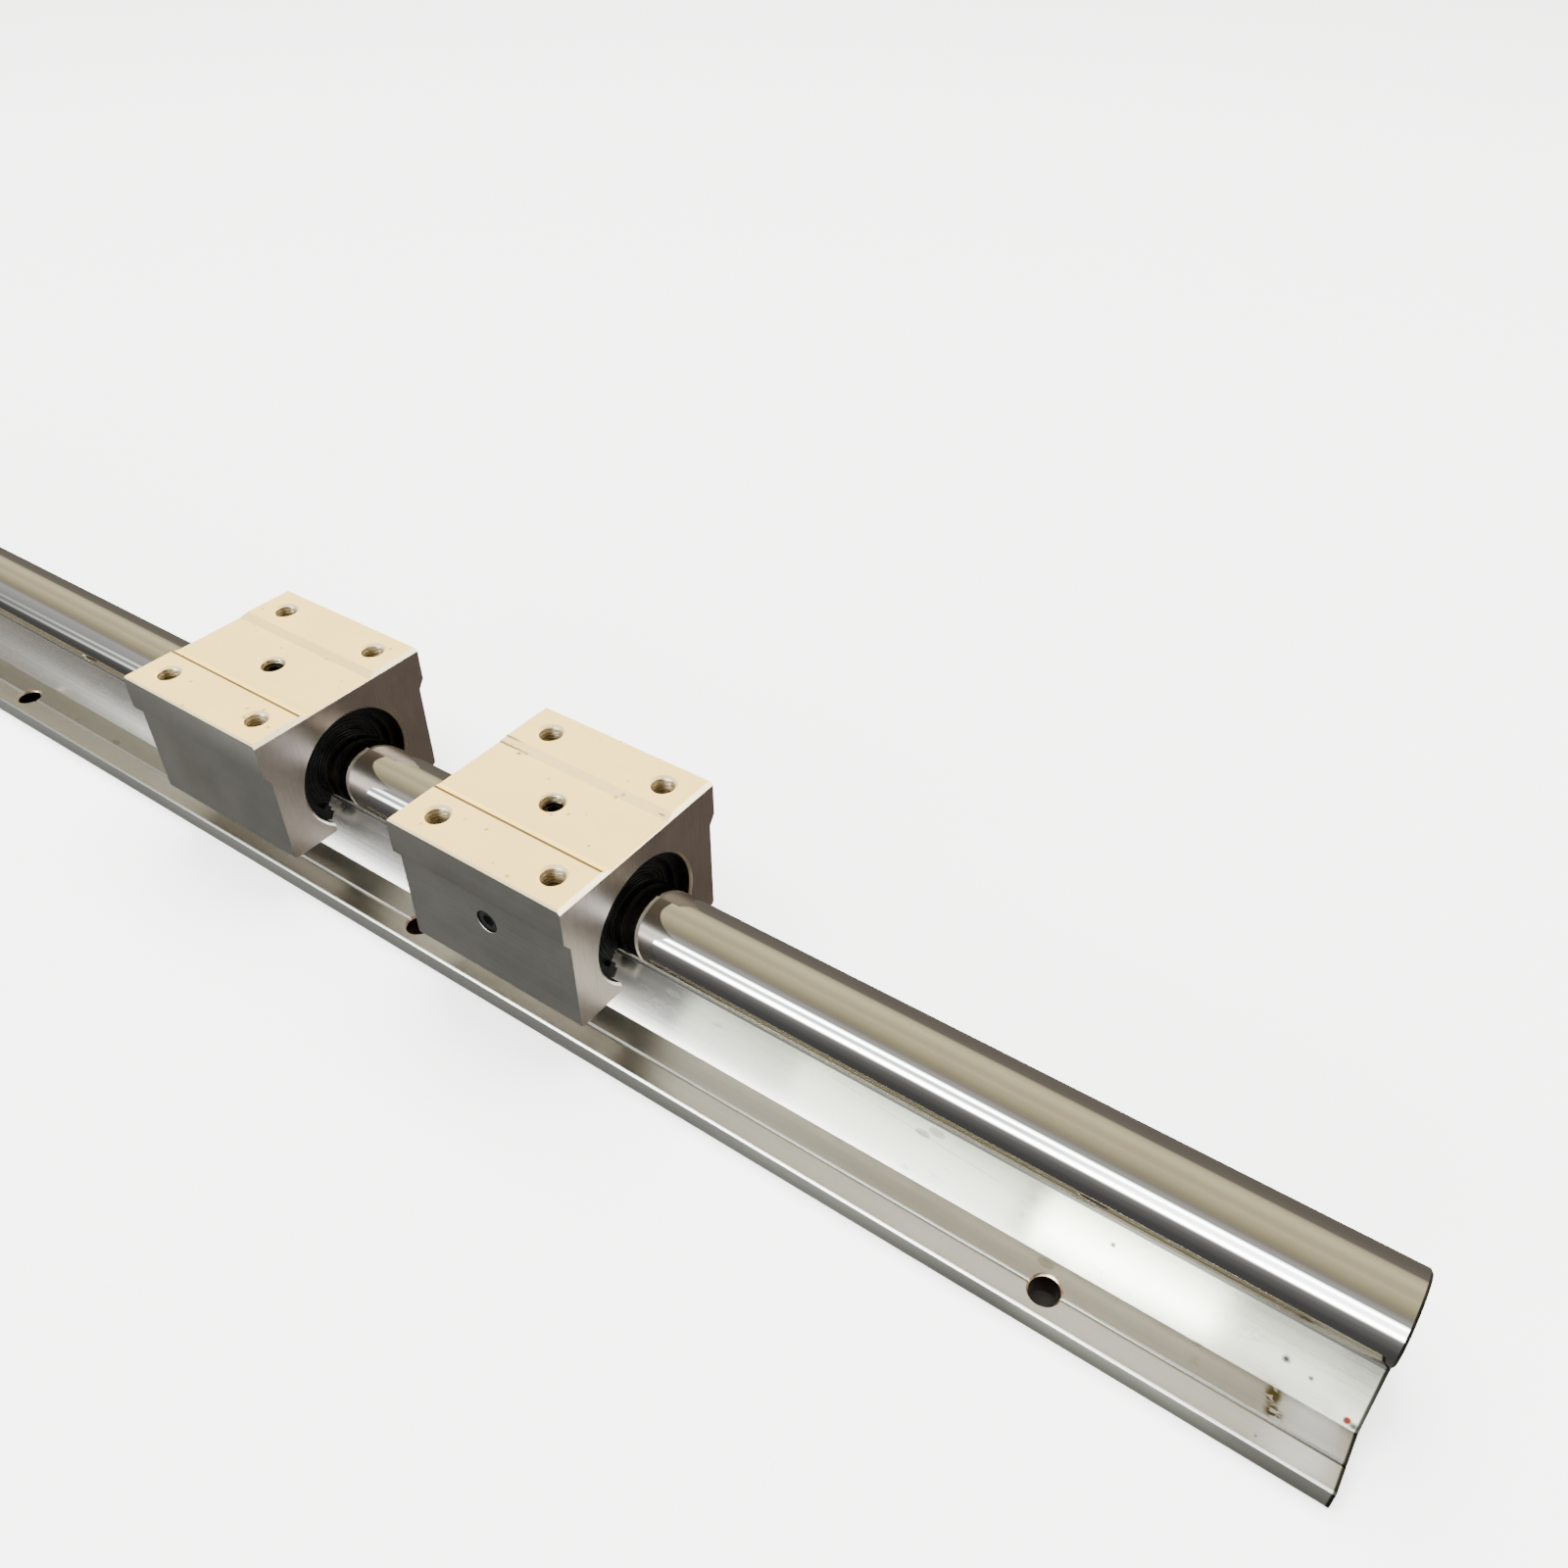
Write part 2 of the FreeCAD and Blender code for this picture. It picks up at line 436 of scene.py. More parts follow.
def add_countersink(bm, mouth, outward, radius, rim):
    """A cone that cuts the rim of a hole; it reaches a little out of the hole's mouth."""
    outward = Vector(outward)
    reach = 0.2
    turn = outward.to_track_quat("Z", "Y").to_matrix().to_4x4()
    middle = Vector(mouth) + outward * (reach - rim) / 2
    bmesh.ops.create_cone(
        bm,
        cap_ends=True,
        segments=64,
        radius1=radius - 0.01,
        radius2=radius + rim + reach,
        depth=rim + reach + 0.01,
        matrix=Matrix.Translation(middle) @ turn,
    )


def with_modifiers(bm, add_modifiers):
    """The mesh as its modifiers leave it."""
    work = bpy.data.objects.new("work", bpy.data.meshes.new("work"))
    bm.to_mesh(work.data)
    bm.free()
    bpy.context.scene.collection.objects.link(work)
    add_modifiers(work)
    graph = bpy.context.evaluated_depsgraph_get()
    made = bmesh.new()
    made.from_mesh(bpy.data.meshes.new_from_object(work.evaluated_get(graph)))
    bpy.data.objects.remove(work)
    bmesh.ops.remove_doubles(made, verts=made.verts, dist=0.0005)
    bmesh.ops.dissolve_degenerate(made, dist=0.0005, edges=made.edges)
    return made


def machined(bm, cutters, edge_break, weight_of_edge):
    """The copy with its hole rims cut and its edges broken, each by its own weight from 0 to 1."""
    tool = bpy.data.objects.new("tool", bpy.data.meshes.new("tool"))
    cutters.to_mesh(tool.data)
    cutters.free()
    bpy.context.scene.collection.objects.link(tool)

    def cut_rims(work):
        cut = work.modifiers.new("rims", "BOOLEAN")
        cut.object = tool
        cut.solver = "EXACT"

    def break_edges(work):
        edges = work.modifiers.new("edges", "BEVEL")
        edges.width = edge_break
        edges.segments = 2
        edges.limit_method = "WEIGHT"

    made = with_modifiers(bm, cut_rims)
    bpy.data.objects.remove(tool)
    join_flat_faces(made)
    weights = made.edges.layers.float.new("bevel_weight_edge")
    for edge in made.edges:
        if len(edge.link_faces) == 2 and edge.calc_face_angle() > math.radians(30):
            edge[weights] = weight_of_edge(edge)
    return with_modifiers(made, break_edges)


def hole_places(block):
    """Mouths of a block's tapped top holes: four corners and the middle."""
    middle = BLOCK_X[block]
    corners = [
        (middle + dx, dy, BLOCK_TOP)
        for dx in (-MOUNT_HOLE_X, MOUNT_HOLE_X)
        for dy in (-MOUNT_HOLE_Y, MOUNT_HOLE_Y)
    ]
    return corners, (middle, 0, BLOCK_TOP - STRIP_DEPTH)


def add_thread(bm, mouth, length, settings, radius=MOUNT_HOLE_R - 0.01):
    """The inside of a tapped hole as a closed sleeve: a ridge that winds down from its mouth."""
    sides = settings.thread_sides
    pitch, depth = settings.thread_pitch, settings.thread_depth
    rows_a_turn = 9
    back_wall = 0.06
    rows = int(length / pitch * rows_a_turn)

    def corner(side, r, down):
        angle = math.tau * side / sides
        place = (mouth[0] + r * math.cos(angle), mouth[1] + r * math.sin(angle), mouth[2] - down)
        return bm.verts.new(place)

    rings = []
    for row in range(rows + 1):
        down = length * row / rows
        fade = min(1, down / (0.7 * pitch), (length - down) / (0.3 * pitch))
        ring = []
        for side in range(sides):
            phase = (down / pitch + side / sides) % 1
            crest = 1 - abs(2 * phase - 1)
            height = min(1, max(0, crest * 1.35 - 0.15)) * depth * fade
            ring.append(corner(side, radius - height, down))
        rings.append(ring)
    for down in (length, 0):
        rings.append([corner(side, radius + back_wall, down) for side in range(sides)])
    rings.append(rings[0])
    for upper, lower in zip(rings, rings[1:]):
        for i in range(sides):
            j = (i + 1) % sides
            bm.faces.new((upper[i], upper[j], lower[j], lower[i]))


def add_ridges(bm, face, outward, settings):
    """The ridged face of a seal: a profile of radius and height, swept round the shaft.

    The heights are shares of the ridge's own height.
    """
    rise = settings.seal_ridge
    profile = [(8.12, -0.1), (8.14, 1.0), (8.4, 1.0)]
    for r in (8.55, 9.4, 10.25):
        profile += [(r, 0.2), (r + 0.45, 0.2), (r + 0.55, 0.85), (r + 0.75, 0.85)]
    profile = profile[:-2] + [(10.7, -0.1)]
    half = settings.seal_opening / 2
    steps = 96
    rows = []
    for step in range(steps + 1):
        angle = math.radians(-90 + half + (360 - 2 * half) * step / steps)
        across, up = math.cos(angle), math.sin(angle)
        rows.append(
            [
                bm.verts.new((face + outward * rise * h, r * across, SHAFT_Z + r * up))
                for r, h in profile
            ]
        )
    count = len(profile)
    for one, two in zip(rows, rows[1:]):
        for i in range(count):
            j = (i + 1) % count
            bm.faces.new((one[i], one[j], two[j], two[i]))
    bm.faces.new(rows[0])
    bm.faces.new(rows[-1])


# ---- finishes ----


def rail_finish(settings):
    """Extruded aluminium: die lines along the rail, sawn ends, scuffs and specks."""
    material, place, facing = new_finish("extruded_aluminium")
    x, y, z = parts_of(place)
    up, side, end = facing.output("Z"), facing.output("Y"), abs(facing)

    # Where each kind of surface is: the flanges' tops, the sawn ends, the slopes up to the
    # shaft, the outer strips of the tops, the long sides, the cradle's lips and the holes.
    flat = up.rise(0.8, 0.95) * (1 - z.rise(5.6, 6.2))
    sawn = end.rise(0.6, 0.8)
    flank = (1 - flat) * (1 - sawn) * z.rise(4.8, 5.6) * (1 - z.rise(17.0, 17.6))
    outer = abs(y).rise(HOLE_ROW, HOLE_ROW + 0.5)
    edge = abs(side).rise(0.8, 0.95) * (1 - z.rise(4.6, 5.0))
    lip = z.rise(17.2, 17.5) * (1 - sawn)
    # Painted shade: a dark band along the end edges, short of the sawn faces.
    end_edge_shade = abs(x).rise(RAIL_END - 0.75, RAIL_END - 0.4) * (1 - end.rise(0.9, 0.97))
    along = abs(abs(x) - HOLE_PITCH) - HOLE_PITCH / 2
    across = abs(y) - HOLE_ROW
    from_hole = (along * along + across * across) ** 0.5
    rim = (1 - from_hole.rise(3.1, 3.2)) * z.rise(4.3, 4.6)
    inside_hole = (1 - from_hole.rise(2.8, 2.85)) * (1 - z.rise(4.3, 4.6))

    lines = place.stretched(0.002, 3.0, 3.0).noise(1.0, 4)
    fine = place.stretched(0.01, 14.0, 14.0).noise(1.0, 2)
    cloud = place.stretched(0.03, 0.12, 0.12).noise(1.0, 3)
    saw = place.stretched(1, 0.06, 3.5).noise(1.0, 3)

    specks = (0.16 - place.stretched(0.5, 1, 1).cells(0.16)).rise(0, 0.05)
    specks = specks * place.noise(0.06, 1).rise(0.5, 0.6)
    scuffs = place.stretched(0.4, 1, 1).noise(0.5, 6, 0.7).rise(0.64, 0.74) * cloud.rise(0.45, 0.6)
    smudge = spots(
        x,
        y,
        [
            (262.3, 2.2, -10.7, 2.8, 1.0),
            (263.2, 2.4, -13.4, 1.7, 1.0),
            (250.0, 1.6, -12.6, 2.2, 0.3),
            (262.2, 0.5, -18.2, 1.8, 0.5),
        ],
    )
    smudge = smudge * flat * place.stretched(0.7, 1.6, 1).noise(0.9, 4).rise(0.4, 0.5) * 1.2
    dots = spots(
        x,
        z,
        [
            (261.9, 1.0, 10.6, 1.2, 0.9),
            (266.1, 0.7, 9.7, 0.7, 0.9),
            (232.0, 0.8, 13.5, 0.8, 0.9),
            (274.0, 1.4, 5.8, 1.2, 0.9),
        ],
    )
    scratch = (z - 15.9 + (x - 174.7) * 0.0686 + cloud * 1.2).near(0.6, 0.12)
    scratch = scratch * x.rise(172, 178) * (1 - x.rise(210, 216))
    stain = place.stretched(0.25, 1, 0.6).noise(0.35, 6, 0.75).rise(0.56, 0.72)
    on_flank = (dots + scratch * 0.5 + stain * 0.45) * flank
    marks = (specks * 0.4 + scuffs * 0.35 + smudge + on_flank).rise(0, 1)

    tone = (lines * 0.5 + fine * 0.2 + cloud * 0.3).rise(0.3, 0.7)
    colour = tone.blend(scaled(settings.rail, 0.86), settings.rail)
    colour = marks.blend(colour, (0.06, 0.055, 0.05))
    # Painted light: the flanges' tops are warmed and darkened by place along the rail and across
    # it, as painted reflection of the warm walls and painted shade of the blocks, and lightened
    # toward the +X end.
    painted_light_tint = 0.52 + x.rise(150, 210) * (0.1 - 0.18 * outer) - 0.3 * outer * (1 - x.rise(-10, 10))
    painted_light_tint = painted_light_tint - x.rise(260, 269) * (0.55 - 0.2 * outer)
    colour = (flat * painted_light_tint).blend(colour, (0.13, 0.08, 0.0))
    rust = spots(x, z, [(272.9, 0.9, 6.2, 1.0, 1.6)])
    colour = (rust * flank).rise(0, 1).blend(colour, (0.16, 0.03, 0.02))
    # Painted shade: the long sides are darkened toward +X.
    colour = (edge * x.rise(190, 230) * 0.42).blend(colour, (0.05, 0.05, 0.05))
    colour = (sawn * 0.6).blend(colour, (0.30, 0.28, 0.26))
    # Painted shade: the cradle's lips under the shaft are darkened.
    colour = (lip * 0.88).blend(colour, (0.06, 0.06, 0.06))
    # Painted shade along the end edges.
    colour = (end_edge_shade * 0.96).blend(colour, (0.012, 0.01, 0.008))
    colour = rim.blend(colour, (0.82, 0.60, 0.46))
    # Painted shade: the walls inside the flange holes are nearly black.
    colour = inside_hole.blend(colour, (0.03, 0.02, 0.015))

    rough = 0.2 + 0.07 * flat + 0.11 * edge + 0.06 * lines + 0.05 * cloud
    rough = rough + 0.2 * marks + 0.12 * sawn + 0.2 * lip
    height = (lines * 0.5 + fine * 0.25) * (1 - sawn) + saw * sawn * 1.2 + scuffs * 0.2
    varying = {"Base Color": colour, "Roughness": rough}
    return finish(material, {"Metallic": 1.0}, varying, height, 0.012)


def shaft_finish(settings):
    """Ground shaft: nearly a mirror, with faint streaks along it and turned ends."""
    material, place, facing = new_finish("ground_shaft")
    x, y, z = parts_of(place)
    end = abs(facing).rise(0.5, 0.8)
    # Painted shade: a dark band along the shaft's end edges, short of the end faces.
    end_edge_shade = abs(x).rise(SHAFT_HIGH.x - 0.6, SHAFT_HIGH.x - 0.35) * (1 - abs(facing).rise(0.9, 0.97))
    streaks = place.stretched(0.02, 0.5, 0.5).noise(1.0, 4)
    grind = place.stretched(5.0, 0.05, 0.05).noise(1.0, 2)
    cloud = place.noise(0.05, 3)
    radius = (y * y + (z - SHAFT_Z) * (z - SHAFT_Z)) ** 0.5
    rings = (radius * 9.0).math("SINE", radius * 9.0) * 0.5 + 0.5
    tone = (streaks * 0.6 + cloud * 0.4).rise(0.35, 0.65)
    colour = tone.blend(scaled(settings.shaft, 0.93), settings.shaft)
    colour = end.blend(colour, (0.36, 0.35, 0.34))
    colour = (end_edge_shade * 0.8).blend(colour, (0.04, 0.035, 0.03))
    rough = 0.02 + 0.015 * streaks + 0.015 * cloud + 0.01 * grind + 0.25 * end
    varying = {"Base Color": colour, "Roughness": rough}
    return finish(material, {"Metallic": 1.0}, varying, rings * end, 0.004)


def block_finish(settings, block):
    """A block's housing: matt top, extruded sides with die lines, milled ends and bore."""
    material, place, facing = new_finish(f"block_{block}_finish")
    x, y, z = parts_of(place)
    up, end = facing.output("Z"), abs(facing)

    # Where each kind of surface is: the top, its chamfers, the milled ends, the holes and the bore.
    upper = z.rise(BLOCK_TOP - 1.6, BLOCK_TOP - 1.2)
    top = up.rise(0.6, 0.68) * upper
    broken = up.rise(0.3, 0.4) * upper * (1 - top)
    milled = end.rise(0.75, 0.9) * (1 - broken)
    away, above = x - BLOCK_X[block], z - SET_SCREW_Z
    from_hole = (away * away + above * above) ** 0.5
    in_side_hole = (1 - from_hole.rise(2.58, 2.64)) * (y * SET_SCREW_SIDE[block]).rise(2, 6)
    radius = (y * y + (z - SHAFT_Z) * (z - SHAFT_Z)) ** 0.5
    bore = (1 - radius.rise(14.6, 14.9)) * (1 - milled)
    # Painted shade on the sunk strip: a dark line along its near step, and a darker band on its
    # sloped far side, stronger on block a than on block b.
    step_shade = top * (1 - abs(y + 10.1).rise(0.2, 0.55))
    far_slope_shade = top * y.rise(8.2, 8.4) * (1 - y.rise(10.2, 10.4)) * (0.35 if block == "a" else 0.1)

    cloud = place.noise(0.07, 4)
    grain = place.noise(3.0, 4, 0.7)
    lines = place.stretched(0.004, 4.0, 4.0).noise(1.0, 4)
    mill = place.stretched(1, 5.0, 0.12).noise(1.0, 3)
    stain = place.stretched(0.6, 1.4, 1).noise(0.22, 5, 0.65).rise(0.62, 0.76)
    pits = (0.2 - place.cells(0.33)).rise(0, 0.08) * place.noise(0.11, 1).rise(0.52, 0.62)
    rubbed = 0.0
    if block == "b":
        wavy = y + (place.noise(0.5, 3) - 0.5) * 0.5
        rubbed = (1 - x.rise(87, 95)) * wavy.near(8.5, 0.45)
        rubbed = rubbed + (1 - x.rise(86, 91)) * wavy.near(10.2, 0.4)
        rubbed = rubbed + spots(
            x,
            y,
            [
                (89.8, 1.1, 7.7, 0.7, 1.0),
                (120.4, 0.5, -5.5, 0.5, 1.0),
                (126.3, 1.6, 9.1, 0.4, 1.0),
            ],
        )
    marks = (top * (stain * 0.2 + pits * 0.5 + rubbed * 0.85)).rise(0, 1)

    top_tone = (cloud * 0.7 + grain * 0.3).rise(0.35, 0.65)
    top_colour = top_tone.blend(scaled(settings.block_top, 0.93), settings.block_top)
    top_colour = far_slope_shade.blend(top_colour, (0.55, 0.50, 0.26))
    side_tone = (lines * 0.5 + cloud * 0.5).rise(0.3, 0.7)
    side_colour = side_tone.blend(scaled(settings.block_side_shaded, 0.85), settings.block_side_shaded)
    end_tone = (mill * 0.5 + cloud * 0.5).rise(0.3, 0.7)
    end_colour = end_tone.blend(scaled(settings.block_end_shaded, 0.85), scaled(settings.block_end_shaded, 1.1))
    # Painted shade: the bore's wall is dark inside and bare metal only near its mouths.
    bore_colour = abs(away).rise(21.8, 22.1).blend((0.11, 0.10, 0.09), (0.75, 0.70, 0.62))
    # Painted light: the top, side and end colours are lit and shaded copies of one anodised metal,
    # on top of their real differences in finish.
    colour = top.blend(milled.blend(side_colour, end_colour), top_colour)
    colour = broken.blend(colour, (0.92, 0.84, 0.64))
    colour = bore.blend(colour, bore_colour)
    colour = marks.blend(colour, (0.13, 0.115, 0.09))
    colour = step_shade.blend(colour, (0.07, 0.055, 0.045))
    # Painted shade: the wall of the set screw's hole is nearly black.
    colour = in_side_hole.blend(colour, (0.02, 0.02, 0.02))

    metallic = 1 - 0.8 * top
    rough = 0.33 + 0.27 * top - 0.13 * broken - 0.05 * milled + 0.06 * lines + 0.05 * cloud
    height = grain * 0.35 * top + lines * 0.6 * (1 - top) * (1 - milled)
    height = height + mill * 0.4 * milled + stain * 0.1
    varying = {"Base Color": colour, "Metallic": metallic, "Roughness": rough}
    return finish(material, {}, varying, height, 0.015)


def thread_finish():
    """Freshly cut aluminium in the tapped holes, with painted shade deeper down."""
    material, place, _ = new_finish("cut_thread")
    _, y, z = parts_of(place)
    cloud = place.noise(0.8, 4)
    # Painted shade: the threads darken deeper down the holes; the middle hole opens into the bore
    # and is dark sooner than the corner holes.
    deep = 1 - (z + 1.8 * abs(y).rise(8, 9)).rise(BLOCK_TOP - 3.8, BLOCK_TOP - 1.0)
    colour = cloud.rise(0.3, 0.7).blend((0.52, 0.43, 0.31), (0.80, 0.68, 0.50))
    colour = deep.blend(colour, (0.07, 0.052, 0.036))
    varying = {"Base Color": colour, "Roughness": 0.3 + 0.2 * cloud}
    return finish(material, {"Metallic": 1.0}, varying, cloud, 0.01)


def black_finish(name, settings, roughness, gloss, grain=2.0):
    """Moulded or blackened parts: nearly black, with a fine uneven grain."""
    material, place, _ = new_finish(name)
    fine = place.noise(grain, 4, 0.6)
    cloud = place.noise(0.25, 3)
    tone = (fine * 0.5 + cloud * 0.5).rise(0.3, 0.7)
    colour = tone.blend(settings.black, scaled(settings.black, 2.2))
    rough = roughness + 0.15 * (cloud - 0.5) + 0.1 * (fine - 0.5)
    varying = {"Base Color": colour, "Roughness": rough}
    return finish(material, {"Specular IOR Level": gloss}, varying, fine, 0.01)


def steel_finish(name):
    """Ground bearing steel."""
    material, place, _ = new_finish(name)
    turned = place.stretched(6.0, 0.3, 0.3).noise(1.0, 3)
    cloud = place.noise(0.2, 3)
    colour = cloud.rise(0.3, 0.7).blend((0.38, 0.37, 0.36), (0.5, 0.49, 0.47))
    varying = {"Base Color": colour, "Roughness": 0.24 + 0.1 * turned}
    return finish(material, {"Metallic": 1.0}, varying, turned, 0.006)


# ---- studio ----


def studio_world():
    """The studio's walls, as light by the angle round the rail's axis, from straight up to -Y."""
    world = bpy.data.worlds.new("studio")
    bpy.context.scene.world = world
    world.use_nodes = True
    tree = world.node_tree
    tree.nodes.clear()
    base = Field(tree)
    direction = base.node("ShaderNodeTexCoord", {}, {}, "Generated")
    x, y, z = parts_of(direction)
    angle = y.math("ARCTAN2", -y, z) * (180 / math.pi)

    def levels(stops, place):
        """The light at each angle; a stop is an angle in degrees, a strength and a colour."""
        ramp = [(degrees / 360 + 0.5, scaled(colour, level)) for degrees, level, colour in stops]
        return base.node("ShaderNodeValToRGB", {"stops": ramp}, {"Fac": place / 360 + 0.5})

    # Strengths given one by one: a brown far side, a warm wall and ceiling, and a grey near side.
    brown, warm, grey = (1.0, 0.88, 0.72), (1.0, 0.88, 0.54), (1.0, 0.98, 0.95)
    walls = [
        (-180, 0.1, brown),
        (-80, 0.17, brown),
        (-61, 0.2, brown),
        (-52, 0.77, warm),
        (-41, 1.0, warm),
        (-30, 0.95, warm),
        (-18, 0.68, warm),
        (-8, 0.66, warm),
        (0, 0.77, warm),
        (30, 0.39, warm),
        (40, 0.33, brown),
        (50, 0.5, grey),
        (94, 0.28, grey),
        (106, 0.15, grey),
        (126, 0.08, grey),
        (145, 0.07, grey),
        (180, 0.1, brown),
    ]
    # The window has two bright bands with a dark bar between them.
    glass, white = (0.88, 1.0, 0.95), (1.0, 1.0, 1.0)
    window = [
        (55, 0, glass),
        (58.7, 0.4, glass),
        (60.7, 0.93, glass),
        (63.7, 0.9, glass),
        (66.5, 0.18, glass),
        (68.5, 0.08, glass),
        (74, 0.08, glass),
        (77, 0.28, glass),
        (80, 1, white),
        (86.5, 1, white),
        (89, 0.1, white),
        (93, 0, white),
    ]
    # Fills the window's dark line, so that the line fades near the rail's end.
    fill = [(64, 0, white), (67, 0.25, white), (75, 0.25, white), (78, 0, white)]
    # The window's lines run down a little where they are seen far along the rail.
    far = x.math("MAXIMUM", -0.2 - x, 0.0)
    window_angle = angle - 95 * far * far * far
    window_light = 23 * x.rise(-0.95, -0.35) ** 1.6 * (1 - 0.75 * x.rise(0.06, 0.3))
    fill_light = window_light * x.rise(-0.22, -0.03)
    # The ceiling is darker toward +X.
    ceiling = x.rise(0.1, 0.5) * (1 - abs(angle).rise(50, 75))
    wall_light = 1.3 * (1 - 0.88 * ceiling)

    lit = None
    for colour, strength in (
        (levels(walls, angle), wall_light),
        (levels(window, window_angle), window_light),
        (levels(fill, angle), fill_light),
    ):
        light = base.node("ShaderNodeBackground", {}, {"Color": colour, "Strength": strength})
        if lit is not None:
            light = base.node("ShaderNodeAddShader", {}, {0: lit, 1: light})
        lit = light
    white = base.node("ShaderNodeBackground", {}, {"Color": (1, 1, 1, 1), "Strength": 8.0})
    seen = base.node("ShaderNodeLightPath", {}, {}, "Is Camera Ray")
    both = base.node("ShaderNodeMixShader", {}, {0: seen, 1: lit, 2: white})
    output = tree.nodes.new("ShaderNodeOutputWorld")
    tree.links.new(both.socket, output.inputs["Surface"])


def softbox(name, power, colour, place, aim, width, height, linked=None, state="INCLUDE"):
    """A soft lamp that the camera doesn't see, with its places and sizes in metres.

    It may light one object alone, or with the state EXCLUDE all but that one.
    """
    lamp = bpy.data.objects.new(name, bpy.data.lights.new(name, "AREA"))
    lamp.data.energy = power
    lamp.data.color = colour
    lamp.data.shape = "RECTANGLE"
    lamp.data.size, lamp.data.size_y = width, height
    lamp.location = place
    lamp.rotation_euler = (Vector(aim) - Vector(place)).to_track_quat("-Z", "Y").to_euler()
    lamp.visible_camera = False
    bpy.context.scene.collection.objects.link(lamp)
    if linked:
        group = bpy.data.collections.new(name + "_lights")
        group.objects.link(linked)
        group.collection_objects[0].light_linking.link_state = state
        lamp.light_linking.receiver_collection = group
    return lamp


def make_floor(sizes):
    """A pale floor with painted shade where the rail lies on it, so that the rail's holes look
    deep.
    """
    mesh = bpy.data.meshes.new("floor")
    half = sizes.floor_size / 2
    corners = [(-half, -half, 0), (half, -half, 0), (half, half, 0), (-half, half, 0)]
    mesh.from_pydata(corners, [], [(0, 1, 2, 3)])
    floor = bpy.data.objects.new("floor", mesh)
    bpy.context.scene.collection.objects.link(floor)
    material, place, _ = new_finish("pale_floor")
    x, y, _ = parts_of(place)
    # Painted shade: nearly black under the rail's footprint.
    shade_under_rail = (1 - abs(x).rise(272, 274)) * (1 - abs(y).rise(18, 19.5))
    colour = shade_under_rail.blend(tuple(sizes.floor_colour), (0.01, 0.009, 0.008))
    floor.data.materials.append(finish(material, {"Roughness": 0.9}, {"Base Color": colour}))
    floor.visible_glossy = False
    floor.visible_diffuse = False
    return floor


def add_lamps(sizes, floor):
    """One lamp for the part, one for the floor, one at +X and four small ones for the flank."""
    middle = (0.1, 0, 0.04)
    overhead = softbox(
        "overhead_lamp",
        sizes.lamp_power,
        sizes.lamp_colour,
        (0.1, 1.2, 1.1),
        middle,
        1.0,
        0.8,
        floor,
        "EXCLUDE",
    )
    overhead.visible_glossy = False
    wash_colour = (1.0, 0.98, 0.94)
    above = (0, 0, 2.4)
    wash = softbox(
        "floor_lamp", sizes.floor_power, wash_colour, above, (0, 0, 0), 3.0, 3.0, floor
    )
    wash.visible_glossy = False
    edge_colour = (1.0, 0.93, 0.78)
    softbox("edge_lamp", sizes.edge_power, edge_colour, (1.2, 0.7, 0.44), middle, 0.45, 0.45)
    # Low in front of the support and close to it: name, x, width and brightness.
    support = bpy.data.objects["rail_support"]
    height = 0.008
    for name, x, width, level in (
        ("flank_lamp_1", 0.241, 0.036, 22),
        ("flank_lamp_2", 0.192, 0.054, 5.5),
        ("flank_lamp_3", 0.281, 0.046, 4.8),
        ("flank_lamp_4", 0.15, 0.03, 2.8),
    ):
        softbox(
            name,
            level * math.pi * width * height,
            (0.95, 1.0, 0.84),
            (x, -0.0336, 0.0035),
            (x, -0.0072, 0.0125),
            width,
            height,
            support,
        )


class RAIL_OT_studio(bpy.types.Operator):
    """Make the floor, the light and the camera"""

    bl_idname = "round_rail.studio"
    bl_label = "Studio"

    def execute(self, context):
        sizes = context.scene.round_rail_studio
        floor = make_floor(sizes)
        studio_world()
        add_lamps(sizes, floor)
        camera = bpy.data.objects.new("camera", bpy.data.cameras.new("camera"))
        context.collection.objects.link(camera)
        camera.data.lens = sizes.lens
        camera.data.clip_start = 0.01
        place = Vector(sizes.camera_place) * MM
        aim = Vector(sizes.camera_aim) * MM
        camera.location = place
        camera.rotation_euler = (aim - place).to_track_quat("-Z", "Y").to_euler()
        context.scene.camera = camera
        return {"FINISHED"}


# ---- pieces ----


class RAIL_OT_housings(bpy.types.Operator):
    """Make the two housings with countersunk holes and broken edges"""

    bl_idname = "round_rail.housings"
    bl_label = "Housings"

    def execute(self, context):
        sizes = context.scene.round_rail_block
        colours = context.scene.round_rail_finish
        for block in BLOCKS:
            corners, centre = hole_places(block)
            cutters = bmesh.new()
            for mouth in corners:
                add_countersink(cutters, mouth, UP, MOUNT_HOLE_R, sizes.hole_rim)
            add_countersink(cutters, centre, UP, SCREW_HOLE_R, sizes.hole_rim)
            side = SET_SCREW_SIDE[block]
            in_leg = (BLOCK_X[block], side * LEG_Y, SET_SCREW_Z)
            add_countersink(cutters, in_leg, (0, side, 0), SCREW_HOLE_R, sizes.hole_rim * 0.3)
            high = HOUSING_BOXES[block][1]

            def weight_of_edge(edge):
                """The long top edges are chamfered more than the others."""
                long_top = all(
                    v.co.z > high.z - 0.01 and abs(v.co.y) > high.y - 0.01 for v in edge.verts
                )
                return 1.0 if long_top else sizes.edge_break / sizes.top_edge

            node = f"block_{block}_housing"
            made = machined(clean_copy(node), cutters, sizes.top_edge, weight_of_edge)
            name = f"block_{block}_body"
            mesh = mesh_of(name, made, BLOCK_TOP - 1.2)
            look = block_finish(colours, block)
            add_piece(name, mesh, look, f"block_{block}", [node])
        return {"FINISHED"}


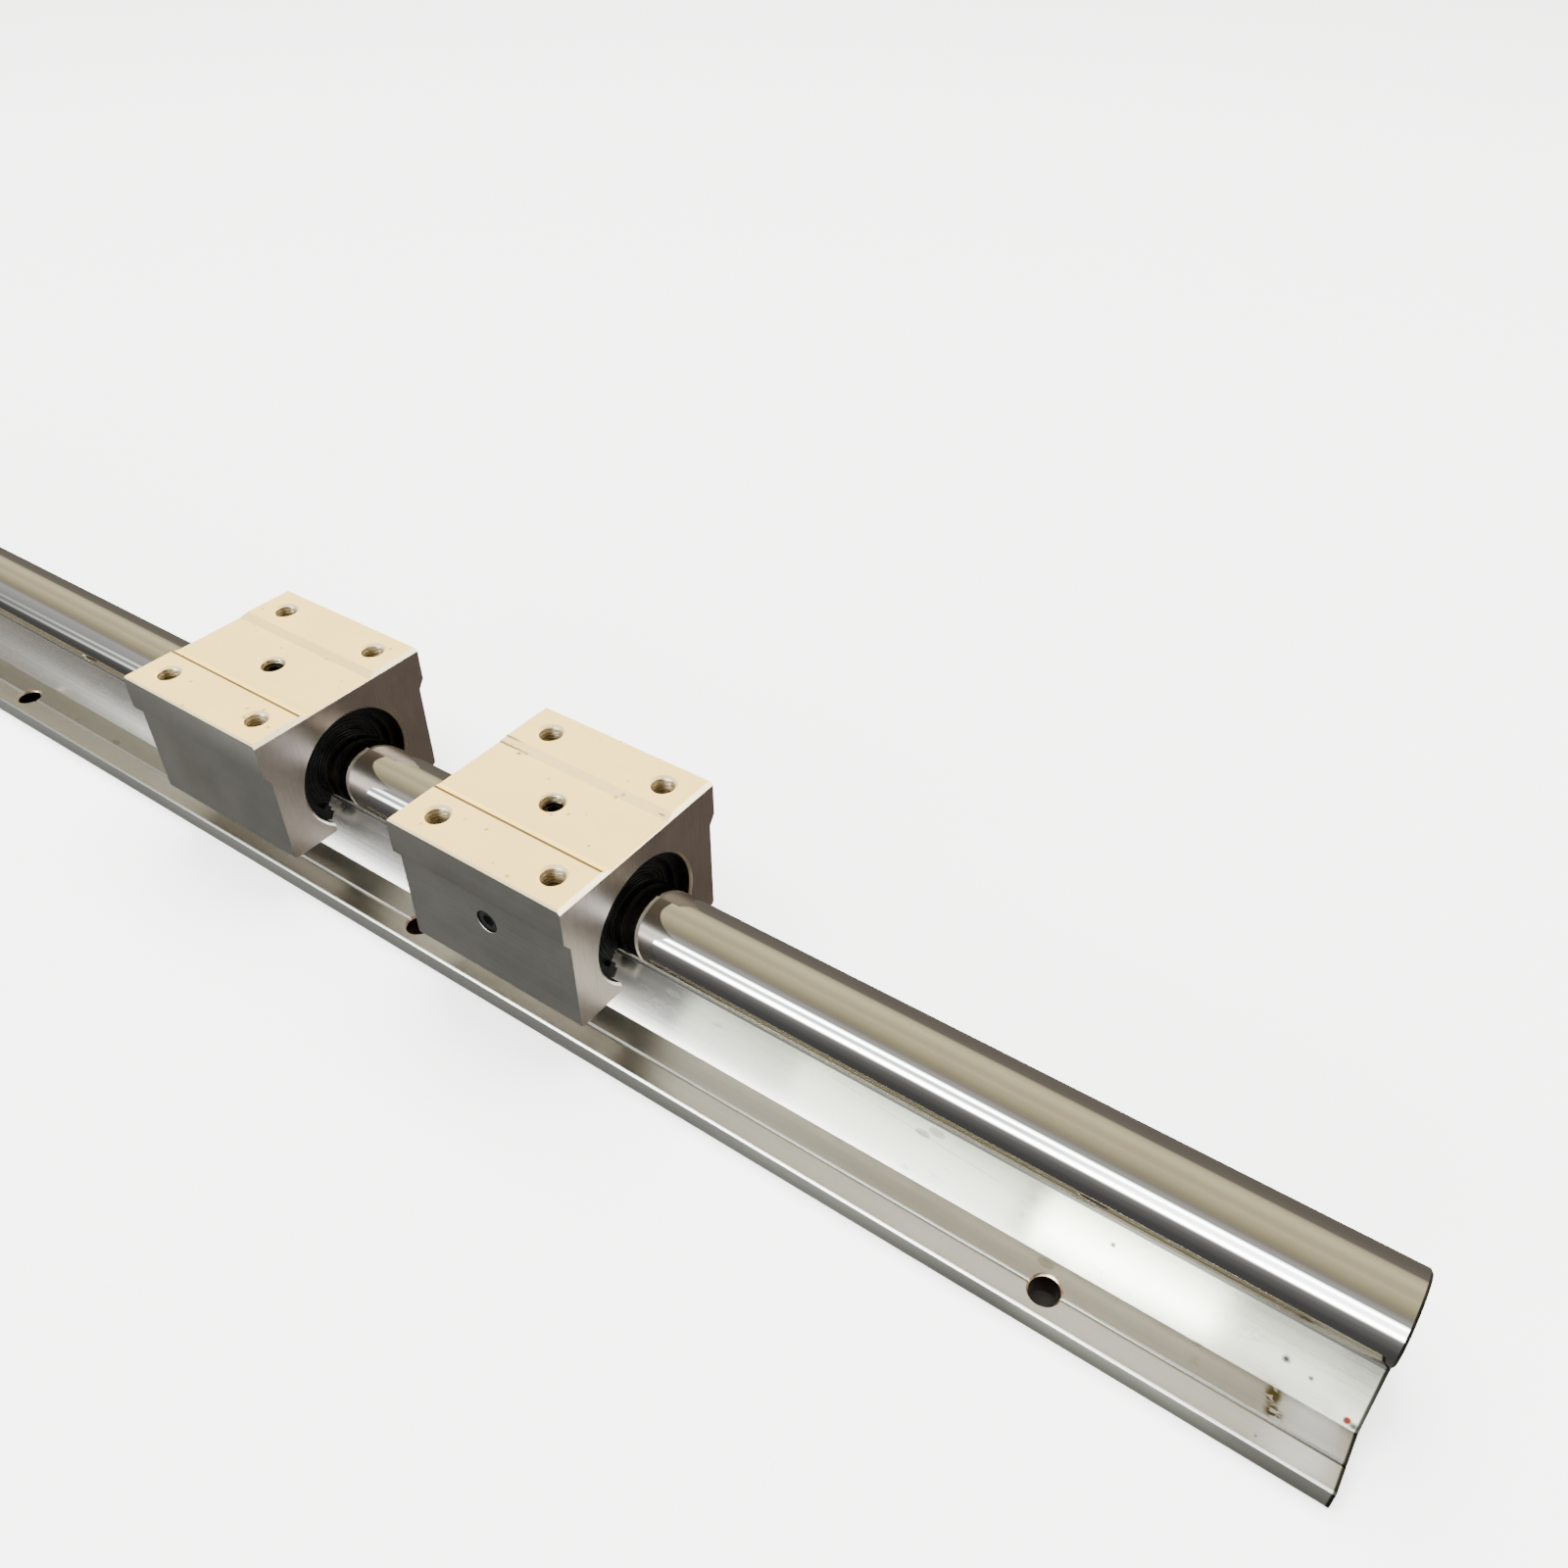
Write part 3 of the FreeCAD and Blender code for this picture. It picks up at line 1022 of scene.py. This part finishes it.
class RAIL_OT_threads(bpy.types.Operator):
    """Make the threads of the tapped holes"""

    bl_idname = "round_rail.threads"
    bl_label = "Threads"

    def execute(self, context):
        sizes = context.scene.round_rail_block
        material = thread_finish()
        for block in BLOCKS:
            bm = bmesh.new()
            corners, centre = hole_places(block)
            for x, y, z in corners:
                add_thread(bm, (x, y, z - sizes.hole_rim), sizes.thread_length, sizes)
            screw_top = node_box(f"block_{block}_lock_screw")[1].z
            start = centre[2] - sizes.hole_rim * 0.6
            mouth = (centre[0], centre[1], start)
            add_thread(bm, mouth, start - screw_top - 0.05, sizes, SCREW_HOLE_R - 0.01)
            bmesh.ops.recalc_face_normals(bm, faces=bm.faces)
            name = f"block_{block}_threads"
            add_piece(name, mesh_of(name, bm), material, f"block_{block}")
        return {"FINISHED"}


class RAIL_OT_seals(bpy.types.Operator):
    """Make the ridged faces of the seals at the bushings' ends"""

    bl_idname = "round_rail.seals"
    bl_label = "Seal faces"

    def execute(self, context):
        sizes = context.scene.round_rail_block
        material = black_finish("seal_rubber", context.scene.round_rail_finish, 0.5, 0.2, 0.8)
        for block in BLOCKS:
            low, high = node_box(f"block_{block}_ball_cage")
            bm = bmesh.new()
            for face, outward in ((low.x, -1), (high.x, 1)):
                add_ridges(bm, face, outward, sizes)
            bmesh.ops.recalc_face_normals(bm, faces=bm.faces)
            name = f"block_{block}_seals"
            add_piece(name, mesh_of(name, bm), material, f"block_{block}")
        return {"FINISHED"}


class RAIL_OT_support(bpy.types.Operator):
    """Make the support with countersunk flange holes and broken edges"""

    bl_idname = "round_rail.support"
    bl_label = "Support"

    def execute(self, context):
        sizes = context.scene.round_rail_rail
        cutters = bmesh.new()
        for pitches in (-1.5, -0.5, 0.5, 1.5):
            for y in (-HOLE_ROW, HOLE_ROW):
                mouth = (pitches * HOLE_PITCH, y, FLANGE_TOP)
                add_countersink(cutters, mouth, UP, FLANGE_HOLE_R, sizes.hole_rim)

        def weight_of_edge(edge):
            """The sawn ends are deburred more than the extruded corners."""
            at_end = all(abs(abs(v.co.x) - RAIL_END) < 0.01 for v in edge.verts)
            return 1.0 if at_end else sizes.edge_break / sizes.end_break

        made = machined(clean_copy("support_rail"), cutters, sizes.end_break, weight_of_edge)
        mesh = mesh_of("rail_support", made)
        look = rail_finish(context.scene.round_rail_finish)
        add_piece("rail_support", mesh, look, "rail", ["support_rail"])
        return {"FINISHED"}


class RAIL_OT_finishes(bpy.types.Operator):
    """Give the shaft, the bushings and the screws their finishes"""

    bl_idname = "round_rail.finishes"
    bl_label = "Finishes"

    def execute(self, context):
        colours = context.scene.round_rail_finish
        looks = {
            "shaft_screws": black_finish("blackened_screw", colours, 0.4, 0.5),
            "shaft": shaft_finish(colours),
            "ring": black_finish("phosphated_ring", colours, 0.6, 0.15),
            "cage": black_finish("moulded_cage", colours, 0.6, 0.1),
            "sleeve": steel_finish("bearing_sleeve"),
            "screw": black_finish("black_screw", colours, 0.5, 0.1),
        }
        for name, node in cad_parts.items():
            # The support and the housings are replaced, and their pieces have finishes already.
            key = next((k for k in looks if k in name), None)
            if key:
                node.data.materials.clear()
                node.data.materials.append(looks[key])
        return {"FINISHED"}


class RAIL_PT_steps(bpy.types.Panel):
    """The sizes, the colours and the steps that make the dressed rail"""

    bl_idname = "RAIL_PT_steps"
    bl_label = "Round Rail"
    bl_space_type = "VIEW_3D"
    bl_region_type = "UI"
    bl_category = "Round Rail"

    def draw(self, context):
        scene = context.scene
        groups = (
            (scene.round_rail_studio, (RAIL_OT_studio,)),
            (scene.round_rail_rail, (RAIL_OT_support,)),
            (scene.round_rail_block, (RAIL_OT_housings, RAIL_OT_threads, RAIL_OT_seals)),
            (scene.round_rail_finish, (RAIL_OT_finishes,)),
        )
        for settings, steps in groups:
            box = self.layout.box()
            for name in settings.__annotations__:
                box.prop(settings, name)
            for step in steps:
                box.operator(step.bl_idname)


CLASSES = (
    StudioSettings,
    BlockSettings,
    RailSettings,
    FinishSettings,
    RAIL_OT_housings,
    RAIL_OT_threads,
    RAIL_OT_seals,
    RAIL_OT_support,
    RAIL_OT_finishes,
    RAIL_OT_studio,
    RAIL_PT_steps,
)

SETTINGS = {
    "round_rail_studio": StudioSettings,
    "round_rail_block": BlockSettings,
    "round_rail_rail": RailSettings,
    "round_rail_finish": FinishSettings,
}


def register():
    """Adds the classes, and the settings to every scene."""
    for kind in CLASSES:
        bpy.utils.register_class(kind)
    for name, kind in SETTINGS.items():
        setattr(bpy.types.Scene, name, PointerProperty(type=kind))


def unregister():
    """Takes out what register added."""
    for name in SETTINGS:
        delattr(bpy.types.Scene, name)
    for kind in reversed(CLASSES):
        bpy.utils.unregister_class(kind)


def main():
    """Makes every piece and the studio."""
    register()
    bpy.ops.round_rail.support()
    bpy.ops.round_rail.housings()
    bpy.ops.round_rail.threads()
    bpy.ops.round_rail.seals()
    bpy.ops.round_rail.finishes()
    bpy.ops.round_rail.studio()


if __name__ == "__main__":
    main()
